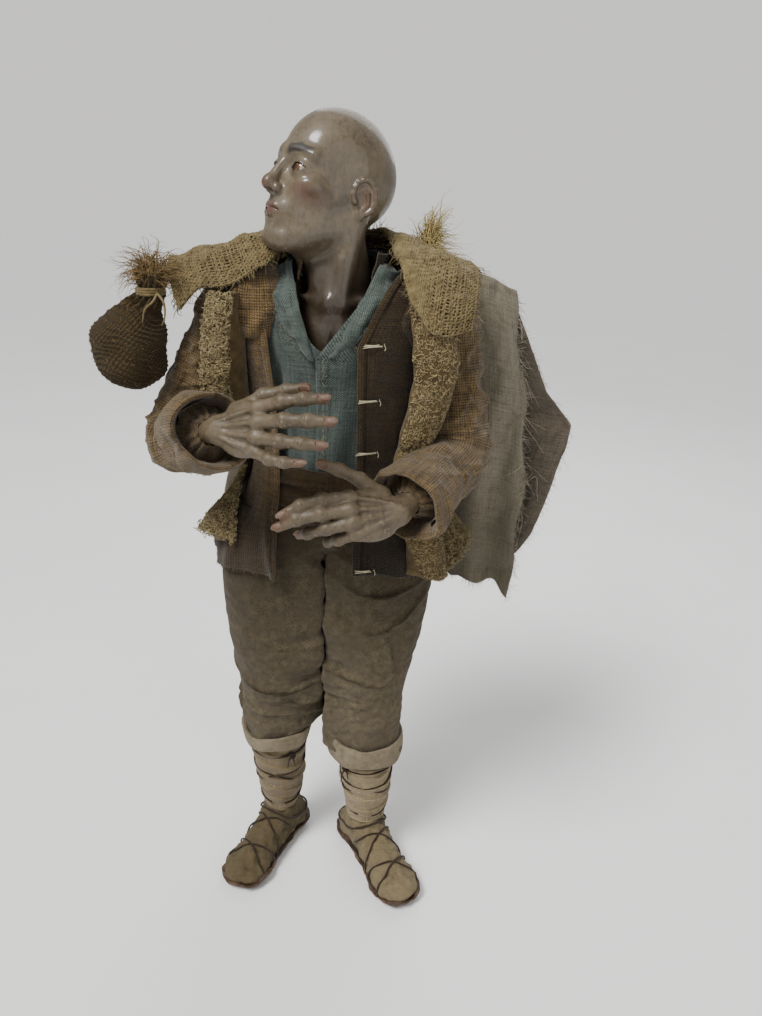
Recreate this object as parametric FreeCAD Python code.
"""A standing crib figure: painted terracotta bust, hands and feet on an iron-wire and tow body, in cloth dress.

Millimetres, +Z up. The figure faces -Y and its right side is at -X. The pieces are laid out about the point
between the heels, then moved by FRAME_SHIFT so that the origin is the bottom centre of the whole figure.
"""

import FreeCAD
import Part

import os
from math import asin, atan2, cos, pi, sin

V = FreeCAD.Vector
OUT = "parts"
SIDES = ("right", "left")
X_AXIS, Z_AXIS = V(1, 0, 0), V(0, 0, 1)

# ---- driving dimensions ----
HEIGHT = 375.0  # sole to crown
MID_X = 2.0  # the torso stands this far to the figure's left of the heels
MID_Y = 1.0
FRAME_SHIFT = V(-6.8, 13.5, 0.0)

WIRE_R = 1.2  # iron armature wire
CLOTH = 1.6  # thickness of a layer of cloth
GAP = 0.4  # clearance between two layers
JOINT_GAP = 0.8  # clearance around a bending place

# ---- bending places of the armature ----
SHOULDER = {"right": V(-45, 2, 300), "left": V(49, 2, 300)}
ELBOW = {"right": V(-68, -12, 239), "left": V(57, -6, 239)}
WRIST = {"right": V(-38, -50, 257), "left": V(34, -48, 228)}
HIP = {"right": V(-26, 0, 188), "left": V(26.2, 0, 188)}
KNEE = {"right": V(-24.5, -2, 106), "left": V(21, -2, 107)}
NECK_AXIS = V(MID_X, MID_Y, 0)

HIP_R = 20.0  # the rounded top of a leg
CAP_STEP = 0.15  # how much smaller a rounded top is than the column it closes
KNEE_R = 16.0
ELBOW_R = 12.6
SHOULDER_R = 11.0
ARM_PLANE_IN = 45.5  # the torso's layers stop this far from its middle, and the arms start JOINT_GAP outside

# ---- sections of the torso, each (height, half width, half depth) ----
CORE = [(198, 30, 18), (214, 29, 17), (232, 27, 16), (262, 31, 19), (285, 36, 22.4), (300, 37, 20.5), (309, 27, 16.5)]
SEAT = [(189, 33, 20), (199, 32, 19.4), (205, 30.4, 18.4), (216, 30, 18)]
COAT = [
    (181, 58, 31.5),
    (190, 57, 31),
    (200, 52, 29.5),
    (210, 44.5, 27.5),
    (220, 39.5, 26),
    (234, 36.5, 24.6),
    (262, 39, 26.5),
    (285, 43.5, 29.6),
    (300, 44.5, 28),
    (312, 33, 22.5),
]

# ---- the sack, as level sections (height, centre x, centre y, half width, half depth) ----
SACK = [
    (266.5, -82, -20, 6, 4),
    (271, -82, -20, 11.5, 7.4),
    (279, -82, -20, 15.8, 10),
    (288, -81.5, -20, 16, 10.5),
    (296, -78.5, -19, 10.5, 8),
    (302, -73, -18, 5.2, 5),
    (307.5, -71.4, -18, 4.6, 4.6),
]

# ---- the bust ----
PLUG_R = 20.5  # the round chest under the neck
PLUG_BASE = 284.5
NECK_R = 12.6
# level sections of the head in its own frame, chin to crown: (height, x, y, half width, half depth)
HEAD = [
    (-30, 0, -13.5, 5, 4.5),
    (-27, 0, -13, 8, 7.5),
    (-22, 0, -10, 11.2, 11.5),
    (-14, 0, -7, 14.4, 15.5),
    (-5, 0, -3, 16.8, 19.5),
    (5, 0, 0, 18.8, 22.4),
    (14, 0, 1.5, 18.4, 22.2),
    (21, 0, 2, 14.6, 18),
    (25.5, 0, 2, 9, 11.5),
    (27.4, 0, 2, 4, 5),
]
HEAD_CENTRE = V(-3.2, 1, 347.8)
HEAD_TURN = 50.0  # to the figure's right
HEAD_TILT = 18.0  # chin up
EYE_R = 3.4

# ---- feet: heel and toe circles of the sole ----
SOLE_T = 3.0
HEEL_R, TOE_R = 9.5, 12.5
HEEL = {"right": V(-20.5, 15, 0), "left": V(18, 12, 0)}
TOE = {"right": V(-37.5, -26, 0), "left": V(44, -28, 0)}

# ---- legs: sections (height, centre x, centre y, half width, half depth) ----
THIGH = {
    "right": [(188, -26, 0, 24.4, 20), (160, -26, -1, 24.6, 20.5), (130, -25, -2, 22, 18.5), (112, -24.5, -2, 20.4, 17)],
    "left": [(188, 26.2, 0, 24.2, 20), (160, 25.2, -1, 23.6, 20.5), (130, 22.5, -2, 21, 18.5), (113, 21, -2, 20.2, 17)],
}
SHIN_CLOTH = {
    "right": [(106, -24.5, -2, 19.6, KNEE_R), (92, -24.5, -2, 19, 16), (78, -25, -1, 16.6, 16)],
    "left": [(107, 21, -2, 19.2, KNEE_R), (90, 21.5, -2, 19, 16), (73, 22, -2, 19.2, 17)],
}
TURN_UP_H = {"right": 12.0, "left": 14.0}
WRAP = {
    "right": [(78, -24.5, -1, 13.2, 13.2), (52, -24, 2, 12.2, 12.2), (31, -24, 6, 10.8, 10.8)],
    "left": [(73, 22.5, -1, 14, 14), (52, 23, 1, 12.6, 12.6), (31, 24, 3, 11.2, 11.2)],
}

# ---- hand: finger skeletons as (along, across towards the thumb, towards the back of the hand) from the wrist ----
FINGERS = {
    "right": {
        "index": [(20, 8, 1), (31, 10, 2), (39, 11, 0), (46, 11.5, -3)],
        "middle": [(21, 2.5, 2), (33, 3, 3), (42, 3, 1), (50, 3, -2)],
        "ring": [(20, -3, 1.5), (31, -4.5, 2), (39, -5, 0), (46, -5.5, -3)],
        "little": [(18, -8, 0), (26, -11, 1), (32, -12, 0), (38, -12, -2)],
        "thumb": [(6, 8, -4), (16, 14, -7), (25, 16, -9), (33, 17, -10)],
    },
    "left": {
        "index": [(20, 8, 1), (30, 9, 0), (38, 7, -2), (45, 4, -4)],
        "middle": [(21, 2.5, 2), (32, 1, -1), (40, -1, -5), (47, -2, -9)],
        "ring": [(20, -3, 1), (29, -5, -4), (35, -5, -11), (40, -4, -17)],
        "little": [(18, -8, -1), (25, -10, -6), (29, -9, -12), (32, -7, -17)],
        "thumb": [(5, 8, -3), (13, 15, -4), (21, 20, -4), (28, 23, -4)],
    },
}
FINGER_R = {"index": 2.7, "middle": 2.8, "ring": 2.6, "little": 2.2, "thumb": 2.9}
HAND_ALONG = {"right": V(46, -19, 9), "left": V(-43, -19, -1)}
HAND_BACK = {"right": V(-22, -90, 38), "left": V(0, -85, 50)}
KNUCKLE = 1.06  # how much wider a finger is at its joints
WRIST_R = 5.0


# ---- shape helpers ----
def ring(x, y, z, rx, ry, points=12):
    """A closed smooth curve in a level plane."""
    curve = Part.BSplineCurve()
    around = [2 * pi * i / points for i in range(points)]
    curve.interpolate([V(x + rx * cos(a), y + ry * sin(a), z) for a in around], PeriodicFlag=True)
    return Part.Wire(curve.toShape())


def column(sections, grow=0.0):
    """A smooth solid through level sections (z, x, y, rx, ry), widened by grow."""
    wires = [ring(x, y, z, rx + grow, ry + grow) for z, x, y, rx, ry in sections]
    return Part.makeLoft(wires, True, False)


def torso(sections, grow=0.0, low=None, high=None):
    """A solid of the torso's sections (z, rx, ry), its two ends moved out or cut back to low and high."""
    zs = [s[0] for s in sections]
    low = zs[0] if low is None else low
    high = zs[-1] if high is None else high
    zs[0], zs[-1] = min(low, zs[0]), max(high, zs[-1])
    solid = column([(z, MID_X, MID_Y, s[1], s[2]) for z, s in zip(zs, sections)], grow)
    return solid.common(box(-99, 99, -99, 99, low, high))


def wall(sections, inner, outer, low, high):
    """A shell of the torso's sections between two offsets."""
    return torso(sections, outer, low, high).cut(torso(sections, inner, low - 1, high + 1))


def front_window(points):
    """A block through the front half of the torso, its outline given as (x, z)."""
    return prism([V(x, -60, z) for x, z in points], V(0, 60, 0))


def box(x0, x1, y0, y1, z0, z1):
    return Part.makeBox(x1 - x0, y1 - y0, z1 - z0, V(x0, y0, z0))


def rod(a, b, r):
    return Part.makeCylinder(r, (b - a).Length, a, b - a)


def cone(a, b, ra, rb):
    return Part.makeCone(ra, rb, (b - a).Length, a, b - a)


def ball(centre, r):
    return Part.makeSphere(r, centre)


def egg(centre, rx, r):
    """An ellipsoid, rx half long across the figure and r in its other two directions."""
    stretch = FreeCAD.Matrix()
    stretch.scale(rx, r, r)
    shape = Part.makeSphere(1.0).transformGeometry(stretch)
    shape.translate(centre)
    return shape


def join(shapes):
    whole = shapes[0]
    for shape in shapes[1:]:
        whole = whole.fuse(shape)
    return whole


def prism(points, direction):
    """A polygon pushed along a direction."""
    return Part.Face(Part.makePolygon(points + [points[0]])).extrude(direction)


def half_space(point, normal, size=200.0):
    """A big block on the side of a plane that normal points to."""
    block = Part.makeBox(size, size, size, V(-size / 2, -size / 2, 0))
    block.Placement = FreeCAD.Placement(point, FreeCAD.Rotation(Z_AXIS, normal))
    return block


def unit(v):
    return v * (1.0 / v.Length)


def capsule(p, rp, q, rq, z):
    """Outline round two circles and their outer tangents, at height z."""
    along = V(q.x - p.x, q.y - p.y, 0)
    heading = atan2(along.y, along.x)
    lean = asin((rp - rq) / along.Length)

    def on(c, r, a):
        return V(c.x + r * cos(a), c.y + r * sin(a), z)

    left, right = heading + pi / 2 - lean, heading - pi / 2 + lean
    edges = [
        Part.Arc(on(p, rp, left), on(p, rp, heading + pi), on(p, rp, right)).toShape(),
        Part.LineSegment(on(p, rp, right), on(q, rq, right)).toShape(),
        Part.Arc(on(q, rq, right), on(q, rq, heading), on(q, rq, left)).toShape(),
        Part.LineSegment(on(q, rq, left), on(p, rp, left)).toShape(),
    ]
    return Part.Wire(edges)


# ---- the bust: head, neck and round chest in one piece, with two glass eyes ----
def head_place():
    turn = FreeCAD.Rotation(Z_AXIS, -HEAD_TURN)
    tilt = FreeCAD.Rotation(X_AXIS, -HEAD_TILT)
    return FreeCAD.Placement(HEAD_CENTRE, turn.multiply(tilt))


def eye_spots():
    """Eye centres in the head's own frame, which faces -Y."""
    return [V(-7.6, -16.6, -1.0), V(7.6, -16.6, -1.0)]


def make_bust():
    head = column(HEAD)
    features = [cone(V(0, -20.5, 2), V(0, -24.5, -9), 1.9, 2.7), ball(V(0, -24.3, -9.6), 3.0)]
    features += [rod(V(-4.6, -21.6, z), V(4.6, -21.6, z), 1.3) for z in (-15.3, -17.7)]
    for side in (-1, 1):
        features.append(ball(V(side * 2.9, -22.6, -10.2), 1.9))
        features.append(rod(V(side * 11.5, -16.8, 3.4), V(side * 3, -20.3, 4.6), 2.1))
        features.append(rod(V(side * 14.5, 3, -4), V(side * 19.6, 3.6, -4), 6.2))
    head = join([head] + features)
    for spot in eye_spots():
        head = head.cut(ball(spot - V(0, 5.8, 0), 4.6)).cut(ball(spot, EYE_R + 0.05))
    head.Placement = head_place()
    profile = [
        V(0, 0, PLUG_BASE),
        V(PLUG_R, 0, PLUG_BASE),
        V(PLUG_R, 0, 292),
        V(17, 0, 302),
        V(NECK_R + 1.2, 0, 309),
        V(NECK_R, 0, 318),
        V(0, 0, 318),
    ]
    chest = Part.Face(Part.makePolygon(profile + [profile[0]])).revolve(V(0, 0, 0), Z_AXIS, 360)
    chest.translate(NECK_AXIS)
    neck = rod(V(MID_X, MID_Y, 313), V(-2.0, 1.5, 344), NECK_R - 0.5)
    return join([head, neck, chest])


def make_eyes():
    eyes = Part.makeCompound([ball(spot, EYE_R) for spot in eye_spots()])
    eyes.Placement = head_place()
    return eyes


# ---- torso: wire, tow stuffing and the dress over it ----
def hip_room(side):
    """The room that the rounded top of a leg turns in."""
    room_r = HIP_R + JOINT_GAP
    return egg(HIP[side], THIGH[side][0][3] + JOINT_GAP, room_r)


def make_spine_wire():
    yoke_z = 212.0
    spine = rod(V(MID_X, MID_Y, yoke_z), V(MID_X, MID_Y, PLUG_BASE - GAP), WIRE_R)
    yoke = rod(V(HIP["right"].x, MID_Y, yoke_z), V(HIP["left"].x, MID_Y, yoke_z), WIRE_R)
    bar_z = 276.0
    bar = rod(V(MID_X - 30, MID_Y, bar_z), V(MID_X + 30, MID_Y, bar_z), WIRE_R)
    return join([spine, yoke, bar])


def make_torso_tow(wire):
    body = torso(CORE, 0.0, low=216.4, high=308)
    bust_room = Part.makeCylinder(PLUG_R + GAP, 40, NECK_AXIS + V(0, 0, PLUG_BASE - GAP), Z_AXIS)
    neckline = box(-24, 28, -60, -2, 283.0, 330)
    return body.cut(bust_room).cut(neckline).cut(wire)


def make_tow_binding():
    """Twine wound round the stuffed body under the shirt, as closed turns."""
    return Part.makeCompound([wall(CORE, 0.25, 0.95, z - 0.5, z + 0.5) for z in (222, 232, 244)])


def make_seat(wire):
    return torso(SEAT, 1.0).cut(hip_room("right")).cut(hip_room("left")).cut(wire)


def make_shirt():
    shell = torso(CORE, 1.6 + CLOTH, low=216.6, high=311).cut(torso(CORE, 1.4, low=216.0, high=313))
    v_neck = front_window([(-4, 281), (-20, 316), (24, 316)])
    return shell.cut(v_neck)


def make_collar():
    """The shirt's open collar: two turned-down leaves beside the V and a band behind the neck."""
    skin = wall(CORE, 3.6, 4.8, 270, 312)
    leaves = [
        skin.common(front_window([(-8, 282), (-19, 313), (-29, 311), (-21, 288)])),
        skin.common(front_window([(2, 282), (20, 313), (30, 311), (18, 288)])),
    ]
    band = Part.makeCylinder(18.6, 7, NECK_AXIS + V(0, 0, 311.4)).cut(
        Part.makeCylinder(17, 9, NECK_AXIS + V(0, 0, 310.6))
    )
    return Part.makeCompound(leaves + [band.common(box(-40, 44, 2, 40, 300, 330))])


def make_sash():
    """Three overlapping turns of a waist cloth, touching face to face."""
    turns = []
    edges = (209.0, 216.5, 224.0, 231.5)
    for low, high, grow in zip(edges, edges[1:], (4.3, 4.7, 4.3)):
        turns.append(wall(CORE, 3.4, grow, low + 0.05, high - 0.05))
    return Part.makeCompound(turns)


def between_arms():
    """The room between the two planes where the arms start, and everything under the elbows."""
    chest = box(MID_X - ARM_PLANE_IN, MID_X + ARM_PLANE_IN, -90, 90, 222, 340)
    return join([chest, box(-90, 90, -90, 90, 150, 222)])


def make_jacket():
    shell = torso(COAT, 0.0).cut(torso(COAT, -CLOTH, low=180, high=314))
    front = front_window([(-21, 170), (-21, 262), (-31, 320), (28, 320), (13, 286), (14, 170)])
    neck = Part.makeCylinder(21, 20, NECK_AXIS + V(0, 0, 305))
    return shell.cut(front).cut(neck).common(between_arms())


def make_jacket_stitches():
    """Short thread bars sewn across the left front edge."""
    sections = [(z, MID_X, MID_Y, rx, ry) for z, rx, ry in COAT]
    bars = []
    for z, x in ((284, 20), (262, 21), (239, 20), (196, 26)):
        near = min(sections, key=lambda s: abs(s[0] - z))
        depth = near[4] * (1 - ((x - 3 - MID_X) / near[3]) ** 2) ** 0.5 + 1.5 - MID_Y
        bars.append(rod(V(x - 3, -depth, z), V(x + 4, -depth, z + 0.8), 0.35))
    return Part.makeCompound(bars)


def make_vest():
    """Sheepskin jerkin: back and sides round the jacket, and two front strips."""
    grow_in, grow_out = GAP, 4.2
    back = wall(COAT, grow_in, grow_out, 196, 309)
    front = box(MID_X - 40, MID_X + 31, -60, -2, 150, 330)
    neck = Part.makeCylinder(24, 30, NECK_AXIS + V(0, 0, 298))
    back = back.cut(front).cut(neck).common(between_arms())
    return back


def make_mantle():
    """Burlap strip laid over both shoulders, with a flap down the left front."""
    top = [V(-66, 0, 311), V(-52, 0, 316), V(-30, 0, 319), V(MID_X, 0, 320), V(34, 0, 319.5), V(52, 0, 317),
           V(60, 0, 310.5)]
    under = [p - V(0, 0, 2.4) for p in reversed(top)]
    strip = prism([p + V(0, -22, 0) for p in top + under], V(0, 53, 0))
    strip = strip.cut(Part.makeCylinder(24.5, 40, NECK_AXIS + V(0, 0, 300)))
    return strip


def make_cloak():
    """Cloak hung down the back, fuller on the left."""
    plan = [(-60, 34), (-45, 37), (-22, 38.5), (4, 37.5), (30, 40), (55, 35), (76, 30), (96, 27), (112, 29)]
    wave = Part.BSplineCurve()
    wave.interpolate([V(x, y, 150) for x, y in plan])
    there = wave.toShape()
    back = Part.BSplineCurve()
    back.interpolate([V(x, y + 2.0, 150) for x, y in reversed(plan)])
    near, far = [V(x, y, 150) for x, y in (plan[0], plan[-1])]
    thick = V(0, 2.0, 0)
    ends = [Part.makeLine(far, far + thick), Part.makeLine(near + thick, near)]
    face = Part.Face(Part.Wire([there, ends[0], back.toShape(), ends[1]]))
    slab = face.extrude(V(0, 0, 180))
    outline = [(-60, 195), (-58, 216), (-45, 232), (-43, 300), (-30, 311), (56, 313), (76, 307), (84, 280),
               (92, 262), (112, 247), (105, 205), (94, 196), (89, 161), (62, 165), (36, 176), (4, 184), (-22, 190)]
    return slab.common(prism([V(x, 0, z) for x, z in outline], V(0, 60, 0)))


def tuft(root, tips, r):
    """Stiff wisps of tow that spread from one bound root."""
    wisps = [cone(root, tip, r, 0.5) for tip in tips]
    return join([ball(root, r * 1.15)] + wisps)


def make_back_tuft():
    root = V(37, 14, 323.0)
    return tuft(root, [root + V(2, 1, 25), root + V(9, 2, 22), root + V(-6, 0, 18)], 2.6)


# ---- the tied sack on the right shoulder ----
def make_sack_parts():
    bag = column(SACK)
    tie = Part.makeTorus(4.9, 0.8, V(-72.2, -18, 303), V(0.1, 0, 1))
    root = V(-71.2, -18, 311)
    wisps = tuft(root, [root + V(-9, -1, 9), root + V(-1, 0, 11), root + V(8, 1, 7)], 2.6)
    return {"sack_bag": bag.cut(tie), "sack_tie": tie, "sack_tow_tuft": wisps}


# ---- an arm: wire, tow, sleeve with turned cuff, and a terracotta hand ----
def elbow_planes(side):
    """Two planes through the elbow that keep the bent upper sleeve and forearm sleeve apart."""
    up, out = unit(SHOULDER[side] - ELBOW[side]), unit(WRIST[side] - ELBOW[side])
    hinge = unit(up.cross(out))
    split = unit(up + out)
    spare = 6.0
    upper = FreeCAD.Rotation(hinge, -spare).multVec(split)
    lower = FreeCAD.Rotation(hinge, spare).multVec(split)
    return half_space(ELBOW[side], upper.cross(hinge) * -1), half_space(ELBOW[side], lower.cross(hinge))


def arm_side_room(side, gap):
    """Everything outside the plane where an arm starts."""
    sign = -1 if side == "right" else 1
    edge = MID_X + sign * (ARM_PLANE_IN + gap)
    return box(-200, edge, -99, 99, 150, 350) if side == "right" else box(edge, 200, -99, 99, 150, 350)


def make_arm(side):
    s, e, w = SHOULDER[side], ELBOW[side], WRIST[side]
    down, out = unit(e - s), unit(w - e)
    past_upper, past_lower = elbow_planes(side)
    outside = arm_side_room(side, JOINT_GAP)
    elbow_room = ball(e, ELBOW_R + JOINT_GAP)

    def upper(r_top, r_low):
        solid = join([ball(s, r_top), cone(s, e, r_top, r_low)])
        return solid.cut(elbow_room).cut(past_upper).common(outside)

    sleeve = upper(SHOULDER_R, 10.5).cut(join([ball(s, 9.4), cone(s, e, 9.4, 9.0)]))
    tow = upper(9.2, 8.8)
    wire = rod(s + down * 2, e - down * (ELBOW_R + 1.4), WIRE_R).common(outside)

    reach = (w - e).Length
    cuff_from, cuff_to = e + out * (reach * 0.42), e + out * (reach * 0.86)
    outer = join([ball(e, ELBOW_R), cone(e, cuff_to, ELBOW_R - 0.3, 13.6).cut(past_lower)])
    inner = join([ball(e, ELBOW_R - CLOTH), cone(e, cuff_to + out * 5, ELBOW_R - 0.3 - CLOTH, 12.2)])
    lower_sleeve = outer.cut(inner)
    cuff = cone(cuff_from, cuff_to + out * 1.5, 14.6, 16.4).cut(cone(cuff_from - out, cuff_to + out * 3, 13.7, 14.7))
    cuff = cuff.cut(past_lower)
    stub_in = 9.0
    fore_tow = join([ball(e, 10.6), cone(e, w - out * (stub_in + GAP), 10, 7)]).cut(past_lower)
    fore_wire = rod(e, w - out * (stub_in + 1.0), WIRE_R)
    return {
        "upper_arm_wire_" + side: wire,
        "upper_arm_tow_" + side: tow.cut(wire),
        "upper_sleeve_" + side: sleeve,
        "forearm_wire_" + side: fore_wire,
        "forearm_tow_" + side: fore_tow.common(inner).cut(fore_wire),
        "lower_sleeve_" + side: lower_sleeve,
        "sleeve_cuff_" + side: cuff.cut(lower_sleeve),
        "hand_" + side: make_hand(side, w, out, stub_in),
    }


def hand_axes(side):
    """Along the hand, towards the thumb, and out of its back."""
    along = unit(HAND_ALONG[side])
    back = HAND_BACK[side]
    back = unit(back - along * back.dot(along))
    thumb = back.cross(along) if side == "left" else along.cross(back)
    if thumb.z < 0:
        thumb = thumb * -1
    return along, thumb, back


def make_hand(side, wrist, forearm, stub_in):
    along, thumb, back = hand_axes(side)

    def at(p):
        return wrist + along * p[0] + thumb * p[1] + back * p[2]

    stub = join([rod(wrist - forearm * stub_in, wrist, WRIST_R), ball(wrist, WRIST_R * KNUCKLE)])
    palm = []
    for name, points in FINGERS[side].items():
        r, knuckle = FINGER_R[name], at(points[0])
        palm.append(cone(wrist, knuckle, WRIST_R * 0.9, r * 1.15))
        chain = [at(p) for p in points]
        for i, (a, b) in enumerate(zip(chain, chain[1:])):
            ra, rb = r * (1.12 - 0.11 * i), r * (1.12 - 0.11 * (i + 1))
            palm += [ball(a, ra * KNUCKLE), cone(a, b, ra, rb)]
        palm.append(ball(chain[-1], r * 0.79 * KNUCKLE))
    return join([stub] + palm)


# ---- a leg: wire, tow, breeches, carved shin and foot, wraps, sole and lacing ----
def make_leg(side):
    hip, knee = HIP[side], KNEE[side]
    thigh, shin = THIGH[side], SHIN_CLOTH[side]
    knee_room = rod(knee - V(40, 0, 0), knee + V(40, 0, 0), KNEE_R + JOINT_GAP)

    def thigh_solid(shrink):
        cap = egg(hip, thigh[0][3] - CAP_STEP - shrink, HIP_R - CAP_STEP - shrink)
        return join([cap, column(thigh, -shrink)]).cut(knee_room)

    breeches = thigh_solid(0.0).cut(thigh_solid(CLOTH))
    thigh_wire = rod(hip + V(0, 0, HIP_R - 4), knee + V(0, 0, KNEE_R + 3), WIRE_R)
    tow = thigh_solid(CLOTH + GAP).cut(thigh_wire)

    def shin_solid(shrink, low=None):
        cap = egg(knee, shin[0][3] - CAP_STEP - shrink, KNEE_R - CAP_STEP - shrink)
        sections = shin[:-1] + [(low if low is not None else shin[-1][0],) + shin[-1][1:]]
        return join([cap, column(sections, -shrink)])

    lower = shin_solid(0.0).cut(shin_solid(CLOTH, shin[-1][0] - 5))
    hem_z, turn_h = shin[-1][0], TURN_UP_H[side]
    band = [(hem_z - 0.5,) + shin[-1][1:], (hem_z + turn_h,) + shin[-2][1:]]
    turn_up = column(band, 1.9).cut(column([(band[0][0] - 2,) + band[0][1:], (band[1][0] + 2,) + band[1][1:]], 0.5))
    turn_up = turn_up.cut(lower)

    wrap = WRAP[side]
    wrap_top = wrap[0][0]
    leg_wrap = column(wrap).cut(column([(wrap_top + 1,) + wrap[0][1:], wrap[1], (30,) + wrap[2][1:]], -CLOTH))
    heel, toe = HEEL[side], TOE[side]

    def foot(shrink, base):
        inward = unit(heel - toe)
        spec = [(base, 0, 0, 0), (11, 1.2, 5, 0.4), (21, 5.0, 22, 0), (29.0, 3.2, 34, -0.6)]
        wires = []
        for z, less_toe, pull, less_heel in spec:
            wires.append(
                capsule(heel, HEEL_R - 0.7 - less_heel - shrink, toe + inward * pull, TOE_R - 0.8 - less_toe - shrink, z)
            )
        return Part.makeLoft(wires, True, True)

    sole = Part.Face(capsule(heel, HEEL_R, toe, TOE_R, 0)).extrude(V(0, 0, SOLE_T))
    carved_foot = foot(CLOTH + 0.1, SOLE_T + GAP)
    foot_wrap = foot(0.0, SOLE_T + 0.05).cut(foot(CLOTH, SOLE_T - 1))
    shin_core = column([(z, x, y, rx - CLOTH - GAP, ry - CLOTH - GAP) for z, x, y, rx, ry in
                        [(92, knee.x, knee.y + 1, 11, 11)] + list(wrap[1:-1]) + [(22,) + wrap[2][1:]]])
    socket = rod(V(knee.x, knee.y, 80), V(knee.x, knee.y, 96), WIRE_R)
    shin_wire = rod(V(knee.x, knee.y, 80), V(knee.x, knee.y, knee.z), WIRE_R)
    leg_foot = join([shin_core, carved_foot]).cut(socket)
    knee_tow = shin_solid(CLOTH + GAP).common(box(-60, 60, -60, 60, 92.4, 130)).cut(shin_wire)
    leg_wrap = leg_wrap.cut(foot(0.0, SOLE_T))
    foot_wrap = foot_wrap.cut(leg_foot)
    return {
        "thigh_wire_" + side: thigh_wire,
        "thigh_tow_" + side: tow,
        "breeches_leg_" + side: breeches,
        "thigh_patch_" + side: make_patch(side),
        "shin_wire_" + side: shin_wire,
        "knee_tow_" + side: knee_tow,
        "shin_and_foot_" + side: leg_foot,
        "breeches_knee_" + side: lower,
        "breeches_turn_up_" + side: turn_up,
        "leg_wrap_" + side: leg_wrap.cut(leg_foot),
        "foot_wrap_" + side: foot_wrap,
        "sole_" + side: sole,
        "lacing_cord_" + side: make_lacing(side),
    }


def make_patch(side):
    """A square of the same cloth sewn on the front of the thigh."""
    sections = THIGH[side]
    skin = column(sections, 1.2).cut(column(sections, GAP / 2))
    x = sections[1][1]
    window = box(x - 9, x + 11, -60, -10, 150, 172) if side == "right" else box(x - 14, x + 4, -60, -10, 138, 162)
    return skin.common(window)


def make_lacing(side):
    """Cord wound round the shin in tilted turns, and crossed over the foot."""
    cord_r = 0.55
    turns = []
    wrap = WRAP[side]
    tilt = 0.17
    for i, z in enumerate((40, 50, 60)):
        low, high = (wrap[2], wrap[1]) if z < wrap[1][0] else (wrap[1], wrap[0])
        t = (z - low[0]) / (high[0] - low[0])
        x, y, r = [low[k] + t * (high[k] - low[k]) for k in (1, 2, 3)]
        lean = tilt if i % 2 else -tilt
        turns.append(Part.makeTorus(r + cord_r + 0.95, cord_r, V(x, y, z), V(lean, 0.05, 1)))
    return Part.makeCompound(turns)


# ---- everything ----
def make_all():
    spine = make_spine_wire()
    nodes = {
        "bust": make_bust(),
        "eyes": make_eyes(),
        "spine_wire": spine,
        "torso_tow": make_torso_tow(spine),
        "tow_binding": make_tow_binding(),
        "breeches_seat": make_seat(spine),
        "shirt": make_shirt(),
        "shirt_collar": make_collar(),
        "waist_sash": make_sash(),
        "jacket": make_jacket(),
        "jacket_stitches": make_jacket_stitches(),
        "sheepskin_vest": make_vest(),
        "burlap_mantle": make_mantle(),
        "cloak": make_cloak(),
        "back_tow_tuft": make_back_tuft(),
    }
    nodes.update(make_sack_parts())
    for side in SIDES:
        nodes.update(make_arm(side))
        nodes.update(make_leg(side))
    return nodes


def main():
    os.makedirs(OUT, exist_ok=True)
    whole = FreeCAD.BoundBox()
    for name, shape in make_all().items():
        moved = shape.copy()
        moved.Placement = FreeCAD.Placement(FRAME_SHIFT, FreeCAD.Rotation()).multiply(moved.Placement)
        fine = shape.isValid() and all(s.isClosed() and s.Volume > 0 for s in shape.Solids)
        b = moved.optimalBoundingBox(False, False)
        whole.add(b)
        print(f"{name:24s} solids {len(shape.Solids):2d} volume {shape.Volume:10.1f} {'ok' if fine else 'CHECK'}")
        moved.exportStep(os.path.join(OUT, name + ".step"))
    print("box", whole)


main()
